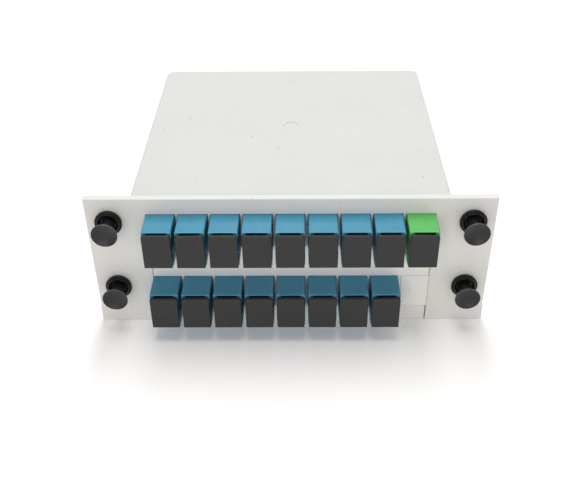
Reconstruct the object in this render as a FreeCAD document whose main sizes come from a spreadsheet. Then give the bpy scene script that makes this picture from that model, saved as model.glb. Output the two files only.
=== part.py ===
"""Plug-in fibre splitter box: a moulded ABS card box with two rows of SC adapters.

Frame: millimetres, +X to the right of the front panel, +Y from the panel to the back, +Z up.
The origin is the bottom centre of the whole box.  Every sub-part is drawn with Y = 0 on the
panel's front face, and its Placement carries it back by half of the overall depth.
"""
import FreeCAD, Part
import math
import os
import re
import Sketcher

# Driving dimensions, in millimetres unless the comment says otherwise.
DRIVING = {
    # Front panel
    "panel_rim": 1.35,             # the panel stands out this far above and below the box
    "panel_thickness": 2.2,
    "panel_corner": 1.3,
    "foot_height": 5.7,            # the panel is a little wider below this height
    "foot_step": 0.25,
    "upper_seam_rise": 2.5,        # above the upper row's centre line
    "lower_seam_drop": 2.1,        # below the lower row's centre line
    "seam_gap": 0.16,              # open line between neighbouring panel pieces
    "loose_seam_gap": 0.32,        # the wider line at the tray's right end
    # Box behind the panel
    "side_room": 2.92,             # from the ends of the adapter rows to the wall's inside
    "body_depth": 100.0,           # from the panel's front face
    "roof_rise": 10.85,            # from the upper row's centre line to the roof
    "wall": 2.0,
    "floor_thickness": 2.0,
    "back_corner": 3.0,
    "top_edge": 0.45,
    "lid_gap": 0.15,               # between the tray and the cover's walls
    "gate_radius": 2.5,
    "gate_depth": 0.45,
    "gate_from_back": 48.0,
    # Grooves behind the panel that hold the adapters
    "rib_thickness": 1.5,
    "groove_play": 0.1,
    "slot_play": 0.05,
    # Adapter rows
    "port_pitch": 10.3,
    "row_columns": 9,              # a count
    "lower_row": 12.5,             # height of the lower row's centre line
    "row_spacing": 24.6,
    # SC adapter
    "adapter_width": 9.26,
    "adapter_height": 12.75,
    "adapter_proud": 10.0,         # in front of the panel's front face
    "adapter_length": 27.4,
    "adapter_edge": 0.3,
    "ridge_height": 14.0,
    "ridge_thickness": 2.0,
    "port_width": 7.5,
    "port_height": 9.1,
    "port_depth": 12.4,
    "mouth_notch_width": 6.4,
    "mouth_notch_depth": 0.7,
    "mouth_rim": 0.45,             # wall left above and below the mouth notch
    "keyway_height": 2.7,
    "keyway_depth": 5.5,
    "ferrule_tube_radius": 2.1,
    "sleeve_bore_radius": 1.25,
    "ferrule_tube_length": 6.6,
    "arm_width": 3.4,
    "arm_thickness": 0.75,
    "arm_offset": 2.65,            # from the port's centre line to the arm's inner face
    "arm_length": 6.4,
    "arm_hook": 0.45,
    # Fibre connector plugged into the adapter from inside
    "plug_width": 7.3,
    "plug_height": 8.9,
    "plug_tail": 7.5,
    "boot_length": 12.0,
    "boot_root": 5.0,
    "boot_tip": 2.6,
    # Dust cap
    "cap_width": 8.87,
    "cap_height": 11.85,
    "cap_plate": 1.2,
    "cap_top_round": 0.7,
    "cap_low_bevel": 0.1,
    "cap_seat_gap": 0.55,         # the caps are not pressed fully home
    "cap_play": 0.1,               # between the cap's plug and the port's walls
    "cap_plug_depth": 7.5,
    "cap_plug_wall": 0.7,
    # Blank plug in the unused place
    "blank_depth": 10.0,
    "blank_wall": 1.3,
    # Push-pull latches
    "wing": 14.2,                  # the panel stands out this far beyond the box's side
    "latch_inset": 7.3,            # from the panel's end to a latch's centre
    "latch_low": 15.35,
    "latch_rise": 25.6,
    "flange_radius": 4.38,
    "flange_root_radius": 4.1,     # against the panel
    "flange_thickness": 1.8,
    "flange_chamfer": 0.55,
    "flange_recess_radius": 3.05,
    "flange_recess_depth": 1.3,
    "barrel_radius": 3.4,          # in the panel's hole
    "leg_radius": 3.1,             # behind the panel
    "barrel_length": 10.0,         # behind the panel's front face
    "barrel_play": 0.05,
    "barrel_slot": 0.8,
    "collar_length": 3.0,
    "leg_wall": 0.5,
    "stem_radius": 2.1,
    "stem_play": 0.05,
    "head_radius": 4.15,
    "head_thickness": 1.7,
    "head_edge": 0.4,
    "head_dish": 0.5,              # depth of the hollow in the head
    "latch_travel": 5.2,
    "bulb_radius": 2.3,
    "bulb_length": 2.0,
    "bulb_taper": 2.2,
    "bulb_tip_radius": 1.5,
    "latch_play": 0.1,
    # Snap tabs that hold the tray in the cover
    "snap_width": 9.0,
    "snap_height": 9.0,            # above the tray's floor
    "snap_thickness": 1.6,
    "snap_hook": 0.9,
    "snap_hook_height": 2.4,
    "snap_play": 0.15,
    "snap_front_y": 30.0,
    "snap_from_back": 18.0,        # from the rear tabs' centre to the back wall's inside
    # Splitter module and the fibre wound round it
    "module_length": 60.0,
    "module_width": 7.0,
    "module_height": 4.0,
    "module_edge": 0.6,
    "saddle_height": 1.6,
    "saddle_width": 4.0,
    "saddle_wall": 1.2,
    "saddle_play": 0.05,
    "saddle_spacing": 42.0,
    "bundle_width": 5.0,
    "bundle_height": 4.6,
    "bundle_rest": 0.2,            # above the tray's floor
    "coil_bend": 18.0,             # bend radius of the bundle's middle line
    "coil_straight": 38.0,
    "coil_from_back": 8.5,         # from the bundle to the back wall's inside
    "hook_thickness": 1.4,
    "hook_width": 5.0,
    "hook_lip": 2.6,
    "hook_play": 0.4,              # between a hook and the bundle
}

# Sizes worked out from the driving dimensions.
DERIVED = {
    "upper_row": "lower_row + row_spacing",
    "upper_seam_height": "upper_row + upper_seam_rise",
    "lower_seam_height": "lower_row - lower_seam_drop",
    "body_bottom": "panel_rim",
    "body_top": "upper_row + roof_rise",
    "panel_height": "body_top + panel_rim",
    "inner_back": "body_depth - wall",
    "inner_top": "body_top - wall",
    "floor_top": "body_bottom + floor_thickness",
    "first_column": "-port_pitch * (row_columns - 1) / 2",
    "ridge_front": "panel_thickness + groove_play / 2",
    "rib_front": "panel_thickness + ridge_thickness + groove_play",
    "rib_back": "rib_front + rib_thickness",
    "slot_half_width": "adapter_width / 2 + slot_play",
    "slot_half_height": "adapter_height / 2 + slot_play",
    "window_half": "slot_half_width - first_column",
    "plate_half": "window_half - seam_gap",
    "inner_half": "window_half + side_room",
    "tray_half": "inner_half - lid_gap",
    "body_half": "inner_half + wall",
    "panel_half": "body_half + wing",
    "latch_x": "panel_half - latch_inset",
    "ridge_reach": "ridge_height / 2 + groove_play",
    "adapter_back": "adapter_length - adapter_proud",
    "cap_front": "adapter_proud + cap_seat_gap + cap_plate",
    "frame_shift": "(body_depth - cap_front) / 2",
    "head_back": "flange_thickness + latch_travel + latch_play",
    "head_front": "head_back + head_thickness",
    "bulb_start": "collar_length + latch_play",
    "module_y": "inner_back - coil_from_back - bundle_width / 2 - coil_bend",
    "bundle_bottom": "floor_top + bundle_rest",
    "hook_reach": "coil_bend - bundle_width / 2 - hook_play",
    "hook_underside": "bundle_bottom + bundle_height + hook_play",
}

# Which origin plane a prism's outline is drawn on, and whether its depth runs along the
# plane's own normal.
PLANES = {
    "front": ("XZ_Plane", False),
    "flat": ("XY_Plane", True),
    "side": ("YZ_Plane", True),
}

doc = FreeCAD.newDocument("splitter_box")
sheet = doc.addObject("Spreadsheet::Sheet", "Sizes")
subparts = []


def fill_sheet():
    """Write the driving dimensions as plain numbers and the derived ones as formulas."""
    row = 1
    for alias, content in list(DRIVING.items()) + list(DERIVED.items()):
        sheet.set(f"A{row}", alias)
        sheet.set(f"B{row}", str(content) if alias in DRIVING else "=" + content)
        sheet.setAlias(f"B{row}", alias)
        row += 1
    doc.recompute()


def bound(formula):
    """A formula in the sheet's own names, as an expression that reads the sheet."""

    def link(word):
        name = word.group()
        return "Sizes." + name if name in DRIVING or name in DERIVED else name

    return re.sub(r"[a-z_]+", link, formula)


def number(formula):
    """What a formula comes to now."""
    return float(sheet.evalExpression(bound(formula)))


def add_loop(sketch, corners):
    """Closed loop of straight lines; every corner is held by two formulas."""
    first = sketch.GeometryCount
    points = [FreeCAD.Vector(number(x), number(y), 0) for x, y in corners]
    following = points[1:] + points[:1]
    sketch.addGeometry([Part.LineSegment(a, b) for a, b in zip(points, following)], False)
    count = len(points)
    for step in range(count):
        after = first + (step + 1) % count
        sketch.addConstraint(Sketcher.Constraint("Coincident", first + step, 2, after, 1))
    for step, corner in enumerate(corners):
        for kind, formula in zip(("DistanceX", "DistanceY"), corner):
            hold(sketch, Sketcher.Constraint(kind, -1, 1, first + step, 1, number(formula)), formula)


def add_circle(sketch, x, y, radius):
    """Circle whose centre and radius are held by formulas."""
    index = sketch.GeometryCount
    centre = FreeCAD.Vector(number(x), number(y), 0)
    sketch.addGeometry(Part.Circle(centre, FreeCAD.Vector(0, 0, 1), number(radius)), False)
    hold(sketch, Sketcher.Constraint("DistanceX", -1, 1, index, 3, number(x)), x)
    hold(sketch, Sketcher.Constraint("DistanceY", -1, 1, index, 3, number(y)), y)
    hold(sketch, Sketcher.Constraint("Radius", index, number(radius)), radius)


def hold(sketch, constraint, formula):
    """Add a dimension and tie it to the sheet."""
    index = sketch.addConstraint(constraint)
    sketch.setExpression(f"Constraints[{index}]", bound(formula))


def rectangle(low_x, high_x, low_y, high_y):
    """Corners of a rectangle, anticlockwise."""
    return [(low_x, low_y), (high_x, low_y), (high_x, high_y), (low_x, high_y)]


def centred(half_width, low, high):
    """Corners of a rectangle that is centred left to right."""
    return rectangle(f"-({half_width})", half_width, low, high)


def new_sketch(body, name, role, offset="0"):
    """Sketch on one of the body's origin planes, moved along the plane's normal."""
    plane = [item for item in body.Origin.OriginFeatures if item.Role == role][0]
    sketch = body.newObject("Sketcher::SketchObject", name)
    sketch.AttachmentSupport = [(plane, "")]
    sketch.MapMode = "FlatFace"
    sketch.setExpression("AttachmentOffset.Base.z", bound(offset))
    return sketch


def prism(body, kind, name, view, low, high, loops=(), circles=()):
    """Pad or Pocket that runs from low to high across the view's plane."""
    role, along_normal = PLANES[view]
    offset = low if along_normal else f"-({low})"
    sketch = new_sketch(body, name + "_outline", role, offset)
    for corners in loops:
        add_loop(sketch, corners)
    for x, y, radius in circles:
        add_circle(sketch, x, y, radius)
    feature = body.newObject("PartDesign::" + kind, name)
    feature.Profile = sketch
    feature.Reversed = along_normal == (kind == "Pocket")
    feature.setExpression("Length", bound(f"({high}) - ({low})"))
    sketch.Visibility = False
    doc.recompute()
    return feature


def row_pattern(body, feature, name):
    """Repeat a feature at every place of an adapter row."""
    axis = [item for item in body.Origin.OriginFeatures if item.Role == "X_Axis"][0]
    pattern = body.newObject("PartDesign::LinearPattern", name)
    pattern.Originals = [feature]
    pattern.Direction = (axis, [""])
    pattern.setExpression("Length", bound("port_pitch * (row_columns - 1)"))
    pattern.setExpression("Occurrences", bound("row_columns"))
    body.Tip = pattern
    doc.recompute()
    return pattern


def dress(body, kind, name, size_name, size, wanted):
    """Fillet or Chamfer on the edges of the body that answer the test."""
    base = body.Tip
    names = [f"Edge{place}" for place, edge in enumerate(base.Shape.Edges, 1) if wanted(edge)]
    feature = body.newObject("PartDesign::" + kind, name)
    feature.Base = (base, names)
    feature.setExpression(size_name, bound(size))
    doc.recompute()
    return feature


def fillet(body, name, radius, wanted):
    return dress(body, "Fillet", name, "Radius", radius, wanted)


def chamfer(body, name, size, wanted):
    return dress(body, "Chamfer", name, "Size", size, wanted)


def runs_along(edge, axis):
    """Whether an edge is straight and parallel to an axis."""
    if not isinstance(edge.Curve, Part.Line):
        return False
    return abs(getattr(edge.Curve.Direction, axis)) > 0.999


def lies_at(edge, axis, formula):
    """Whether a whole edge lies at one place along an axis."""
    low = getattr(edge.BoundBox, axis.upper() + "Min")
    high = getattr(edge.BoundBox, axis.upper() + "Max")
    place = number(formula)
    return abs(low - place) < 0.01 and abs(high - place) < 0.01


def revolve(body, kind, name, profile):
    """Revolution or Groove about the body's Y axis; the profile's corners are (radius, y)."""
    sketch = new_sketch(body, name + "_outline", "XY_Plane")
    add_loop(sketch, profile)
    feature = body.newObject("PartDesign::" + kind, name)
    feature.Profile = sketch
    feature.ReferenceAxis = (sketch, ["V_Axis"])
    feature.Angle = 360
    sketch.Visibility = False
    doc.recompute()
    return feature


def new_body(name):
    """Empty body; its Label is the sub-part's name."""
    body = doc.addObject("PartDesign::Body", name)
    body.Label = name
    return body


def place(body, x="0", y="0", z="0"):
    """Put a finished body where the box holds it."""
    body.setExpression("Placement.Base.x", bound(x))
    body.setExpression("Placement.Base.y", bound(f"({y}) - frame_shift"))
    body.setExpression("Placement.Base.z", bound(z))
    subparts.append(body)


def repeat(master, name):
    """Another body of the same form."""
    body = new_body(name)
    form = doc.addObject("PartDesign::FeatureBase", name + "_form")
    form.BaseFeature = master
    body.Group = [form]
    body.Tip = form
    return body


def port_slot(row):
    """Outline of the first adapter slot of a row, in the panel's plane."""
    return rectangle(
        "first_column - slot_half_width",
        "first_column + slot_half_width",
        f"{row} - slot_half_height",
        f"{row} + slot_half_height",
    )


def cut_port_slots(body, row):
    """Cut one row's adapter slots through the panel and the rib behind it."""
    slot = prism(body, "Pocket", row + "_slot", "front", "0", "rib_back", [port_slot(row)])
    row_pattern(body, slot, row + "_slots")


def latch_places():
    """Name, X and Z formulas of the four latches."""
    for level, z in (("lower", "latch_low"), ("upper", "latch_low + latch_rise")):
        for side, x in (("left", "-latch_x"), ("right", "latch_x")):
            yield f"{level}_{side}", x, z


def snap_outline(grow):
    """Side view of a snap tab at the tray's right edge; grow leaves room round its hook."""
    root = "floor_top - floor_thickness / 2"
    top = "(floor_top + snap_height)"
    shoulder = f"({top} - snap_hook_height)"
    inner = "(tray_half - snap_thickness)"
    hook = "(inner_half + snap_hook)"
    return [
        (inner, root),
        ("tray_half", root),
        ("tray_half", f"{shoulder} - {grow}"),
        (f"{hook} + {grow}", f"{shoulder} - {grow}"),
        (f"{hook} + {grow}", f"{shoulder} + snap_hook_height / 4 + {grow}"),
        ("tray_half", f"{top} + {grow}"),
        (inner, f"{top} + {grow}"),
    ]


def cut_or_add_snaps(body, kind, grow):
    """The four snap tabs of the tray, or the four recesses in the cover that take them."""
    for corner, y in (("front", "snap_front_y"), ("back", "inner_back - snap_from_back")):
        for side, sign in (("right", ""), ("left", "-")):
            outline = [(f"{sign}({x})", z) for x, z in snap_outline(grow)]
            prism(body, kind, f"{corner}_{side}_snap", "front", f"{y} - snap_width / 2 - {grow}",
                  f"{y} + snap_width / 2 + {grow}", [outline])


def build_cover():
    """Deep cover: the panel's two wings and top band, the walls and the roof."""
    body = new_body("top_cover")
    half = "panel_half"
    foot = "panel_half + foot_step"
    panel = [
        (f"-({foot})", "0"),
        ("-window_half", "0"),
        ("-window_half", "upper_seam_height"),
        ("window_half", "upper_seam_height"),
        ("window_half", "0"),
        (foot, "0"),
        (foot, "foot_height"),
        (half, "foot_height"),
        (half, "panel_height"),
        (f"-({half})", "panel_height"),
        (f"-({half})", "foot_height"),
        (f"-({foot})", "foot_height"),
    ]
    prism(body, "Pad", "panel", "front", "0", "panel_thickness", [panel])
    fillet(body, "panel_corners", "panel_corner",
           lambda edge: runs_along(edge, "y") and lies_at(edge, "z", "0")
           and abs(edge.BoundBox.XMin) > number(half))
    shell = centred("body_half", "panel_thickness", "body_depth")
    prism(body, "Pad", "shell", "flat", "body_bottom", "body_top", [shell])
    fillet(body, "back_corners", "back_corner",
           lambda edge: runs_along(edge, "z") and lies_at(edge, "y", "body_depth"))
    chamfer(body, "roof_edge", "top_edge",
            lambda edge: lies_at(edge, "z", "body_top") and edge.BoundBox.YMax > number("body_depth / 3"))
    hollow = centred("inner_half", "panel_thickness", "inner_back")
    prism(body, "Pocket", "hollow", "flat", "body_bottom", "inner_top", [hollow])
    web = centred("inner_half", "upper_row + ridge_reach", "inner_top")
    prism(body, "Pad", "web", "front", "panel_thickness", "rib_front", [web])
    rib = centred("inner_half", "upper_seam_height", "inner_top")
    prism(body, "Pad", "rib", "front", "rib_front", "rib_back", [rib])
    cut_port_slots(body, "upper_row")
    cut_or_add_snaps(body, "Pocket", "snap_play")
    holes = [(x, z, "barrel_radius + barrel_play") for _, x, z in latch_places()]
    prism(body, "Pocket", "latch_holes", "front", "0", "panel_thickness", circles=holes)
    prism(body, "Pocket", "gate_mark", "flat", "body_top - gate_depth", "body_top",
          circles=[("0", "body_depth - gate_from_back", "gate_radius")])
    place(body)


def build_tray():
    """Floor with the panel's bottom band, snap tabs, saddles and the hooks for the fibre."""
    body = new_body("base_tray")
    floor = centred("tray_half", "panel_thickness + slot_play", "inner_back - lid_gap")
    prism(body, "Pad", "floor", "flat", "body_bottom", "floor_top", [floor])
    fillet(body, "floor_corners", "back_corner - wall",
           lambda edge: runs_along(edge, "z") and lies_at(edge, "y", "inner_back - lid_gap"))
    band = rectangle("-plate_half", "window_half - loose_seam_gap", "0", "lower_seam_height - seam_gap")
    prism(body, "Pad", "band", "front", "0", "panel_thickness", [band])
    web = centred("plate_half - loose_seam_gap", "body_bottom", "lower_row - ridge_reach")
    prism(body, "Pad", "web", "front", "panel_thickness", "rib_front", [web])
    rib = centred("tray_half", "body_bottom", "lower_seam_height - seam_gap")
    prism(body, "Pad", "rib", "front", "rib_front", "rib_back", [rib])
    cut_port_slots(body, "lower_row")
    cut_or_add_snaps(body, "Pad", "0")
    add_saddles(body)
    add_hooks(body)
    place(body)


def add_saddles(body):
    """Two U-shaped saddles that grip the splitter module."""
    half_grip = "(module_width / 2 + saddle_play)"
    half_outer = f"({half_grip} + saddle_wall)"
    top = "floor_top + saddle_height + module_height * 0.75"
    seat = "floor_top + saddle_height"
    section = [
        (f"module_y - {half_outer}", "floor_top"),
        (f"module_y + {half_outer}", "floor_top"),
        (f"module_y + {half_outer}", top),
        (f"module_y + {half_grip}", top),
        (f"module_y + {half_grip}", seat),
        (f"module_y - {half_grip}", seat),
        (f"module_y - {half_grip}", top),
        (f"module_y - {half_outer}", top),
    ]
    for side, centre in (("left", "-saddle_spacing / 2"), ("right", "saddle_spacing / 2")):
        prism(body, "Pad", f"{side}_saddle", "side", f"{centre} - saddle_width / 2",
              f"{centre} + saddle_width / 2", [section])


def add_hooks(body):
    """Four hooks inside the fibre bundle's loop; their lips keep the bundle down."""
    top = "hook_underside + hook_thickness"
    for row, sign in (("front", "-"), ("back", "")):
        section = [
            (f"module_y {sign or '+'} hook_reach", "floor_top"),
            (f"module_y {sign or '+'} hook_reach", "hook_underside"),
            (f"module_y {sign or '+'} (hook_reach + hook_lip)", "hook_underside"),
            (f"module_y {sign or '+'} (hook_reach + hook_lip)", top),
            (f"module_y {sign or '+'} (hook_reach - hook_thickness)", top),
            (f"module_y {sign or '+'} (hook_reach - hook_thickness)", "floor_top"),
        ]
        for side, centre in (("left", "-coil_straight / 2"), ("right", "coil_straight / 2")):
            prism(body, "Pad", f"{row}_{side}_hook", "side", f"{centre} - hook_width / 2",
                  f"{centre} + hook_width / 2", [section])


def build_holder():
    """Middle piece of the panel: a comb up and a comb down, with a rib behind the adapters."""
    body = new_body("adapter_holder")
    plate = centred("plate_half", "lower_seam_height", "upper_seam_height - seam_gap")
    prism(body, "Pad", "plate", "front", "0", "panel_thickness", [plate])
    low = "lower_row + ridge_reach"
    high = "upper_row - ridge_reach"
    web = centred("plate_half", low, high)
    prism(body, "Pad", "web", "front", "panel_thickness", "rib_front", [web])
    rib = centred("tray_half", "lower_seam_height", "upper_seam_height - seam_gap")
    prism(body, "Pad", "rib", "front", "rib_front", "rib_back", [rib])
    for side, sign in (("left", "-"), ("right", "")):
        near, far = f"{sign}(plate_half - wall)", f"{sign}tray_half"
        block = rectangle(far, near, low, high) if sign else rectangle(near, far, low, high)
        prism(body, "Pad", f"{side}_block", "front", "panel_thickness + slot_play", "rib_front", [block])
    cut_port_slots(body, "upper_row")
    cut_port_slots(body, "lower_row")
    place(body)


def build_adapter(name):
    """SC adapter body with the fibre connector that is plugged in behind it."""
    body = new_body(name)
    outline = centred("adapter_width / 2", "-adapter_height / 2", "adapter_height / 2")
    prism(body, "Pad", "case", "front", "-adapter_proud", "adapter_back", [outline])
    chamfer(body, "case_edges", "adapter_edge", lambda edge: runs_along(edge, "y"))
    ridge = centred("adapter_width / 2", "-ridge_height / 2", "ridge_height / 2")
    prism(body, "Pad", "ridge", "front", "ridge_front", "ridge_front + ridge_thickness", [ridge])
    mouth = centred("port_width / 2", "-port_height / 2", "port_height / 2")
    prism(body, "Pocket", "port", "front", "-adapter_proud", "port_depth - adapter_proud", [mouth])
    notch_half = "adapter_height / 2 - mouth_rim"
    notch = centred("mouth_notch_width / 2", f"-({notch_half})", notch_half)
    prism(body, "Pocket", "mouth_notch", "front", "-adapter_proud",
          "mouth_notch_depth - adapter_proud", [notch])
    keyway = rectangle("0", "adapter_width / 2", "-keyway_height / 2", "keyway_height / 2")
    prism(body, "Pocket", "keyway", "front", "-adapter_proud", "keyway_depth - adapter_proud", [keyway])
    floor = "port_depth - adapter_proud"
    tube = [("0", "0", "ferrule_tube_radius")]
    prism(body, "Pad", "ferrule_tube", "front", f"{floor} - ferrule_tube_length", floor, circles=tube)
    bore = [("0", "0", "sleeve_bore_radius")]
    prism(body, "Pocket", "sleeve_bore", "front", f"{floor} - ferrule_tube_length", floor, circles=bore)
    add_latch_arms(body, floor)
    plug = centred("plug_width / 2", "-plug_height / 2", "plug_height / 2")
    prism(body, "Pad", "connector", "front", "adapter_back", "adapter_back + plug_tail", [plug])
    add_boot(body)
    return body


def add_latch_arms(body, floor):
    """Two hooked arms that grip a plug, above and below the ferrule tube."""
    inner, outer = "arm_offset", "(arm_offset + arm_thickness)"
    tip = f"{floor} - arm_length"
    for side, sign in (("upper", ""), ("lower", "-")):
        arm = [
            (floor, f"{sign}{inner}"),
            (floor, f"{sign}{outer}"),
            (tip, f"{sign}{outer}"),
            (tip, f"{sign}({inner} - arm_hook / 2)"),
            (f"{tip} + arm_hook", f"{sign}({inner} - arm_hook)"),
            (f"{tip} + arm_hook * 2", f"{sign}{inner}"),
        ]
        prism(body, "Pad", f"{side}_arm", "side", "-arm_width / 2", "arm_width / 2", [arm])


def add_boot(body):
    """Tapered bend relief of the connector behind."""
    boot = body.newObject("PartDesign::AdditiveWedge", "boot")
    limits = {
        "Ymin": "adapter_back + plug_tail",
        "Ymax": "adapter_back + plug_tail + boot_length",
        "Xmin": "-boot_root / 2",
        "Xmax": "boot_root / 2",
        "Zmin": "-boot_root / 2",
        "Zmax": "boot_root / 2",
        "X2min": "-boot_tip / 2",
        "X2max": "boot_tip / 2",
        "Z2min": "-boot_tip / 2",
        "Z2max": "boot_tip / 2",
    }
    for limit, formula in limits.items():
        boot.setExpression(limit, bound(formula))
    doc.recompute()


def build_dust_cap(name):
    """Cap with a flat plate outside and a hollow plug that fills the port."""
    body = new_body(name)
    outline = centred("cap_width / 2", "-cap_height / 2", "cap_height / 2")
    prism(body, "Pad", "plate", "front", "-cap_front", "cap_plate - cap_front", [outline])
    fillet(body, "plate_top_corners", "cap_top_round",
           lambda edge: runs_along(edge, "y") and lies_at(edge, "z", "cap_height / 2"))
    chamfer(body, "plate_low_corners", "cap_low_bevel",
            lambda edge: runs_along(edge, "y") and lies_at(edge, "z", "-cap_height / 2"))
    back = "cap_plate - cap_front"
    plug = centred("port_width / 2 - cap_play", "-(port_height / 2 - cap_play)",
                   "port_height / 2 - cap_play")
    prism(body, "Pad", "plug", "front", back, f"{back} + cap_plug_depth", [plug])
    half_inner = "port_width / 2 - cap_play - cap_plug_wall"
    half_tall = "port_height / 2 - cap_play - cap_plug_wall"
    hollow = centred(half_inner, f"-({half_tall})", half_tall)
    prism(body, "Pocket", "hollow", "front", back, f"{back} + cap_plug_depth", [hollow])
    return body


def port_places():
    """Adapter name, cap name, X and Z formulas of every port in use."""
    count = int(number("row_columns"))
    outputs = 0
    for row in ("upper_row", "lower_row"):
        for column in range(count):
            x = f"first_column + port_pitch * {column}"
            at_end = column == count - 1
            if at_end and row == "lower_row":
                continue
            if at_end:
                yield "input_adapter", "input_dust_cap", x, row
                continue
            outputs += 1
            yield f"output_adapter_{outputs:02d}", f"output_dust_cap_{outputs:02d}", x, row


def build_ports():
    """Every adapter and its dust cap, repeated from the first of each."""
    adapter, cap = None, None
    for adapter_name, cap_name, x, z in port_places():
        if adapter is None:
            adapter, cap = build_adapter(adapter_name), build_dust_cap(cap_name)
            pair = adapter, cap
        else:
            pair = repeat(adapter, adapter_name), repeat(cap, cap_name)
        for body in pair:
            place(body, x=x, z=z)


def build_blank_plug():
    """Flush plug that fills the unused place at the lower row's right end."""
    body = new_body("blank_plug")
    outline = centred("adapter_width / 2", "-adapter_height / 2", "adapter_height / 2")
    prism(body, "Pad", "block", "front", "0", "blank_depth", [outline])
    ridge = centred("adapter_width / 2", "-ridge_height / 2", "ridge_height / 2")
    prism(body, "Pad", "ridge", "front", "ridge_front", "ridge_front + ridge_thickness", [ridge])
    hollow = centred("adapter_width / 2 - blank_wall", "-(adapter_height / 2 - blank_wall)",
                     "adapter_height / 2 - blank_wall")
    prism(body, "Pocket", "hollow", "front", "blank_wall", "blank_depth", [hollow])
    place(body, x="-first_column", z="lower_row")


def build_grommet(name):
    """Latch grommet: a recessed flange in front and a split barrel through the panel."""
    body = new_body(name)
    bore = "stem_radius + stem_play"
    leg_bore = "leg_radius - leg_wall"
    profile = [
        (bore, "flange_recess_depth - flange_thickness"),
        ("flange_recess_radius", "flange_recess_depth - flange_thickness"),
        ("flange_recess_radius", "-flange_thickness"),
        ("flange_radius - flange_chamfer", "-flange_thickness"),
        ("flange_radius", "flange_chamfer - flange_thickness"),
        ("flange_root_radius", "0"),
        ("barrel_radius", "0"),
        ("barrel_radius", "panel_thickness"),
        ("leg_radius", "panel_thickness"),
        ("leg_radius", "barrel_length"),
        (leg_bore, "barrel_length"),
        (leg_bore, "collar_length"),
        (bore, "collar_length"),
    ]
    revolve(body, "Revolution", "turned", profile)
    slot_start = "collar_length + leg_wall"
    slot = centred("barrel_slot / 2", "-leg_radius", "leg_radius")
    prism(body, "Pocket", "barrel_slot", "front", slot_start, "barrel_length", [slot])
    return body


def build_plunger(name):
    """Latch plunger, pulled out: a dished head, a stem and a bulb behind the collar."""
    body = new_body(name)
    profile = [
        ("0", "head_dish - head_front"),
        ("head_radius - head_edge", "-head_front"),
        ("head_radius", "head_edge - head_front"),
        ("head_radius", "-head_back"),
        ("stem_radius", "-head_back"),
        ("stem_radius", "bulb_start"),
        ("bulb_radius", "bulb_start"),
        ("bulb_radius", "bulb_start + bulb_length"),
        ("bulb_tip_radius", "bulb_start + bulb_length + bulb_taper"),
        ("0", "bulb_start + bulb_length + bulb_taper"),
    ]
    revolve(body, "Revolution", "turned", profile)
    return body


def build_latches():
    """Four grommets and their plungers, repeated from the first of each."""
    grommet, plunger = None, None
    for corner, x, z in latch_places():
        names = f"latch_grommet_{corner}", f"latch_plunger_{corner}"
        if grommet is None:
            grommet, plunger = build_grommet(names[0]), build_plunger(names[1])
            pair = grommet, plunger
        else:
            pair = repeat(grommet, names[0]), repeat(plunger, names[1])
        for body in pair:
            place(body, x=x, z=z)


def build_module():
    """Splitter module: a slim metal case that holds the splitter chip."""
    body = new_body("splitter_module")
    bottom = "floor_top + saddle_height"
    section = centred("module_length / 2", "module_y - module_width / 2", "module_y + module_width / 2")
    prism(body, "Pad", "case", "flat", bottom, f"{bottom} + module_height", [section])
    fillet(body, "case_edges", "module_edge", lambda edge: runs_along(edge, "x"))
    place(body)


def build_coil():
    """Slack of the buffered fibres, wound into one long loop round the module."""
    body = new_body("fibre_loop")
    path = new_sketch(body, "loop_path", "XY_Plane", "bundle_bottom")
    half = number("coil_straight / 2")
    bend = number("coil_bend")
    middle = number("module_y")
    up = FreeCAD.Vector(0, 0, 1)
    right, left = FreeCAD.Vector(half, middle, 0), FreeCAD.Vector(-half, middle, 0)
    quarter = math.pi / 2
    path.addGeometry([
        Part.LineSegment(FreeCAD.Vector(-half, middle - bend, 0), FreeCAD.Vector(half, middle - bend, 0)),
        Part.ArcOfCircle(Part.Circle(right, up, bend), -quarter, quarter),
        Part.LineSegment(FreeCAD.Vector(half, middle + bend, 0), FreeCAD.Vector(-half, middle + bend, 0)),
        Part.ArcOfCircle(Part.Circle(left, up, bend), quarter, 3 * quarter),
    ], False)
    for first, first_end, second, second_end in ((0, 2, 1, 1), (1, 2, 2, 1), (2, 2, 3, 1), (3, 2, 0, 1)):
        path.addConstraint(Sketcher.Constraint("Tangent", first, first_end, second, second_end))
    hold(path, Sketcher.Constraint("DistanceX", -1, 1, 1, 3, half), "coil_straight / 2")
    hold(path, Sketcher.Constraint("DistanceY", -1, 1, 1, 3, middle), "module_y")
    hold(path, Sketcher.Constraint("DistanceX", -1, 1, 3, 3, -half), "-coil_straight / 2")
    hold(path, Sketcher.Constraint("DistanceY", -1, 1, 3, 3, middle), "module_y")
    hold(path, Sketcher.Constraint("Radius", 1, bend), "coil_bend")
    section = new_sketch(body, "loop_section", "YZ_Plane", "-coil_straight / 2")
    front_run = "module_y - coil_bend"
    add_loop(section, rectangle(
        f"{front_run} - bundle_width / 2",
        f"{front_run} + bundle_width / 2",
        "bundle_bottom",
        "bundle_bottom + bundle_height",
    ))
    loop = body.newObject("PartDesign::AdditivePipe", "loop")
    loop.Profile = section
    loop.Spine = path
    doc.recompute()
    place(body)


def check_features():
    """Stop if an object failed or if a Pad or Pocket left its body as it was."""
    for item in doc.Objects:
        if "Invalid" in item.State or "Error" in item.State:
            raise RuntimeError(f"{item.Name} failed: {item.State}")
    for body in subparts:
        solids = [item for item in body.Group if hasattr(item, "Shape") and item.Shape.Solids]
        volumes = [item.Shape.Volume for item in solids]
        for before, after, item in zip(volumes, volumes[1:], solids[1:]):
            if abs(after - before) < 1e-6:
                raise RuntimeError(f"{body.Label}: {item.Name} changed nothing")


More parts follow.
